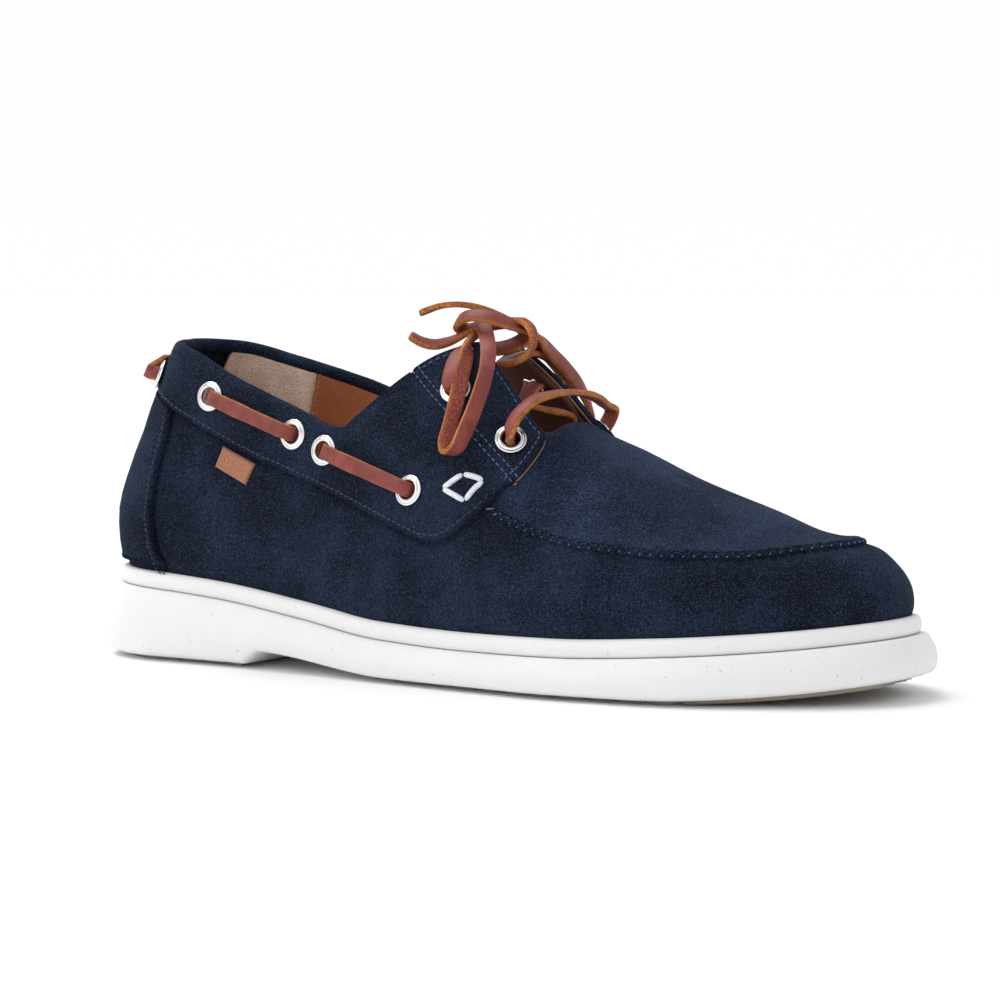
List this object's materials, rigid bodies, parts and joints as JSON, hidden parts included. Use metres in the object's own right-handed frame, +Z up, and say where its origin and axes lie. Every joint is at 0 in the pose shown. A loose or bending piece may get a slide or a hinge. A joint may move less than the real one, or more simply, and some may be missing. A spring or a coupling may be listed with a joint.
{
  "type": "boat shoe",
  "caption": "Right men's boat shoe in navy suede with a white two-tier rubber sole, leather lace through metal eyelets round the collar, and a tied bow.",
  "frame": {"origin": "centre of the shoe's footprint, on the floor under the tread (the bow left out)", "axes": "+X towards the toe, +Y to the medial side (the inner side of a right foot), +Z up"},
  "size_m": [0.3, 0.1078, 0.1224],
  "materials": {
    "suede": "matte navy suede, short nap",
    "sole_rubber": "satin off-white rubber with small specks",
    "tread_rubber": "matte beige rubber",
    "lining_leather": "tan leather and suede lining",
    "lace_leather": "waxed red-brown leather, raw tan edges",
    "eyelet_metal": "polished nickel",
    "woven_tab": "plain tan ribbed weave"
  },
  "bodies": {
    "root": {"outsole": "sole_rubber", "midsole": "sole_rubber", "tread_heel": "tread_rubber", "tread_forefoot": "tread_rubber", "insole": "lining_leather", "upper": "suede", "tongue": "suede", "collar_band": "suede", "eyestay_lateral": "suede", "eyestay_medial": "suede", "heel_counter": "suede", "tab": "woven_tab", "eyelet_lateral_heel": "eyelet_metal", "eyelet_medial_heel": "eyelet_metal", "eyelet_lateral_rear": "eyelet_metal", "eyelet_medial_rear": "eyelet_metal", "eyelet_lateral_rear_front": "eyelet_metal", "eyelet_medial_rear_front": "eyelet_metal", "eyelet_lateral_front_rear": "eyelet_metal", "eyelet_medial_front_rear": "eyelet_metal", "eyelet_lateral_front": "eyelet_metal", "eyelet_medial_front": "eyelet_metal", "eyelet_lateral_throat_upper": "eyelet_metal", "eyelet_medial_throat_upper": "eyelet_metal", "eyelet_lateral_throat_lower": "eyelet_metal", "eyelet_medial_throat_lower": "eyelet_metal", "collar_lace_lateral_rear": "lace_leather", "collar_lace_lateral_front": "lace_leather", "collar_lace_medial_rear": "lace_leather", "collar_lace_medial_front": "lace_leather", "collar_lace_heel": "lace_leather", "throat_lace": "lace_leather", "bow_knot": "lace_leather", "bow_strand_lateral": "lace_leather", "bow_strand_medial": "lace_leather", "bow_loop_lateral": "lace_leather", "bow_loop_medial": "lace_leather", "bow_end_upper": "lace_leather", "bow_end_lower": "lace_leather"}
  },
  "joints": []
}
